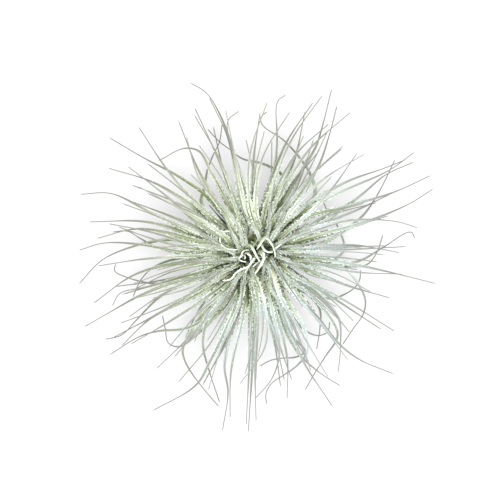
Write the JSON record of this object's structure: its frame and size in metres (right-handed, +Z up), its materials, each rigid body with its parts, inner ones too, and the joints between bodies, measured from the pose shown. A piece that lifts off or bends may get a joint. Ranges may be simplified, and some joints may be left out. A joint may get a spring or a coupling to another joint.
{
  "type": "air plant",
  "caption": "Two-crowned rosette of narrow silvery leaves that arch out and taper to threads, on a short rooted stem.",
  "frame": {"origin": "centre of the flat cut under the stem, which the plant rests on", "axes": "+Z up out of the rosette, +X and +Y across it, as a picture from straight above shows right and up"},
  "size_m": [0.1505, 0.1468, 0.0671],
  "materials": {
    "stem": "dry fibrous brown bark with wiry roots",
    "lower_leaf": "matt grey-green leaf under fine silvery scales, older and greyer",
    "outer_leaf": "matt olive leaf under fine silvery scales, pale at the edges, grey thread tips",
    "middle_leaf": "matt olive leaf under fine silvery scales, pale at the edges, grey thread tips",
    "crown_leaf": "matt olive leaf thick with silvery scales, white along the edges",
    "heart_leaf": "young leaf, cream white with silvery scales"
  },
  "bodies": {
    "root": {"stem_with_roots": "stem", "lower_leaves": "lower_leaf", "outer_leaves": "outer_leaf", "middle_leaves": "middle_leaf", "left_crown_leaves": "crown_leaf", "right_crown_leaves": "crown_leaf", "left_heart_leaves": "heart_leaf", "right_heart_leaves": "heart_leaf"}
  },
  "joints": []
}
